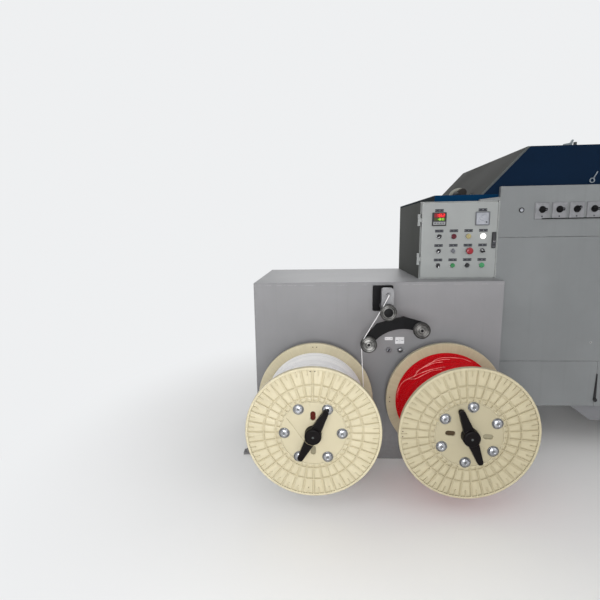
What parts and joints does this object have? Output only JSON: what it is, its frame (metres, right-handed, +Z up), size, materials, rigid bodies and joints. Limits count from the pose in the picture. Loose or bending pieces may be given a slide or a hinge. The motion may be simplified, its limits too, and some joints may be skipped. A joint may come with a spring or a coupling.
{
  "type": "wire line take-up machine",
  "caption": "Low take-up cabinet carrying ribbed wire reels on spindles, a swinging guide arm with pulleys, a control box and a hooded oven housing beside it.",
  "frame": {"origin": "on the floor at the take-up cabinet's front face, midway between the two spindles", "axes": "+X to the right along the front, +Y into the machine, +Z up"},
  "size_m": [2.8978, 1.814, 1.72],
  "materials": {
    "grey_paint": "satin grey paint",
    "light_grey_paint": "satin light grey paint",
    "box_paint": "satin grey paint",
    "blue_paint": "satin dark blue paint",
    "ramp_paint": "matt grey paint",
    "bearing_iron": "painted casting",
    "shaft_steel": "ground steel",
    "reel_plastic": "moulded cream plastic",
    "white_wire": "white sheathed wire",
    "red_wire": "red sheathed wire",
    "bright_bolts": "zinc plated",
    "black_casting": "black coated",
    "black_plate": "black coated",
    "turned_steel": "turned",
    "panel_devices": "moulded switch parts",
    "black_plastic": "moulded",
    "meter_face": "meter case",
    "small_metal": "plated"
  },
  "bodies": {
    "machine": {"take_up_cabinet": "grey_paint", "cabinet_lid": "grey_paint", "floor_anchors": "grey_paint", "end_pedestal": "grey_paint", "oven_front_upper": "light_grey_paint", "oven_front_middle": "light_grey_paint", "oven_front_lower": "light_grey_paint", "box_top_cover": "light_grey_paint", "oven_sump": "light_grey_paint", "oven_body": "light_grey_paint", "control_box": "box_paint", "door_hinges": "box_paint", "hood_base": "blue_paint", "hood": "blue_paint", "hood_ramp_left": "ramp_paint", "hood_ramp_right": "ramp_paint", "spindle_bearings": "bearing_iron", "traverse_cover": "black_plate", "jog_buttons": "panel_devices", "rotary_switches": "panel_devices", "oven_locks": "small_metal", "hood_fittings": "small_metal", "vent_motor": "small_metal"},
    "door": {"control_door": "light_grey_paint", "door_latch": "black_plastic", "temperature_controller": "black_plastic", "ammeter": "meter_face", "selector_switches": "panel_devices", "push_buttons": "panel_devices", "signal_lamps": "panel_devices"},
    "reel_left": {"spindle_left": "shaft_steel", "rear_flange_left": "reel_plastic", "front_flange_left": "reel_plastic", "barrel_left": "reel_plastic", "winding_left": "white_wire", "tie_bolts_left": "bright_bolts", "wing_nut_left": "black_casting"},
    "reel_right": {"spindle_right": "shaft_steel", "rear_flange_right": "reel_plastic", "front_flange_right": "reel_plastic", "barrel_right": "reel_plastic", "winding_right": "red_wire", "tie_bolts_right": "bright_bolts", "wing_nut_right": "black_casting"},
    "traverse": {"traverse_head": "shaft_steel"},
    "arm": {"guide_arm": "black_plate"},
    "hub_wheel": {"hub_pulley": "turned_steel"},
    "left_wheel": {"arm_pulley_left": "turned_steel"},
    "right_wheel": {"arm_pulley_right": "turned_steel"}
  },
  "joints": [
    {"name": "reel_left_spin", "type": "hinge", "parent": "machine", "child": "reel_left", "pos_m": [-0.3345, -0.3, 0.398], "axis": [0, 1, 0], "continuous": true},
    {"name": "reel_right_spin", "type": "hinge", "parent": "machine", "child": "reel_right", "pos_m": [0.3345, -0.3, 0.398], "axis": [0, 1, 0], "continuous": true},
    {"name": "traverse_slide", "type": "slide", "parent": "machine", "child": "traverse", "axis": [0, 1, 0], "range_m": [-0.245, 0.085]},
    {"name": "arm_swing", "type": "hinge", "parent": "traverse", "child": "arm", "pos_m": [0.0225, -0.204, 0.879], "axis": [0, 1, 0], "range_deg": [-5, 36]},
    {"name": "hub_wheel_spin", "type": "hinge", "parent": "traverse", "child": "hub_wheel", "pos_m": [0.0225, -0.221, 0.879], "axis": [0, 1, 0], "continuous": true},
    {"name": "left_wheel_spin", "type": "hinge", "parent": "arm", "child": "left_wheel", "pos_m": [-0.06928, -0.221, 0.72068], "axis": [0, 1, 0], "continuous": true},
    {"name": "right_wheel_spin", "type": "hinge", "parent": "arm", "child": "right_wheel", "pos_m": [0.18302, -0.221, 0.79112], "axis": [0, 1, 0], "continuous": true},
    {"name": "door_swing", "type": "hinge", "parent": "machine", "child": "door", "pos_m": [0.23, 0.145, 1.2065], "axis": [0, 0, 1], "range_deg": [-110, 0]}
  ]
}
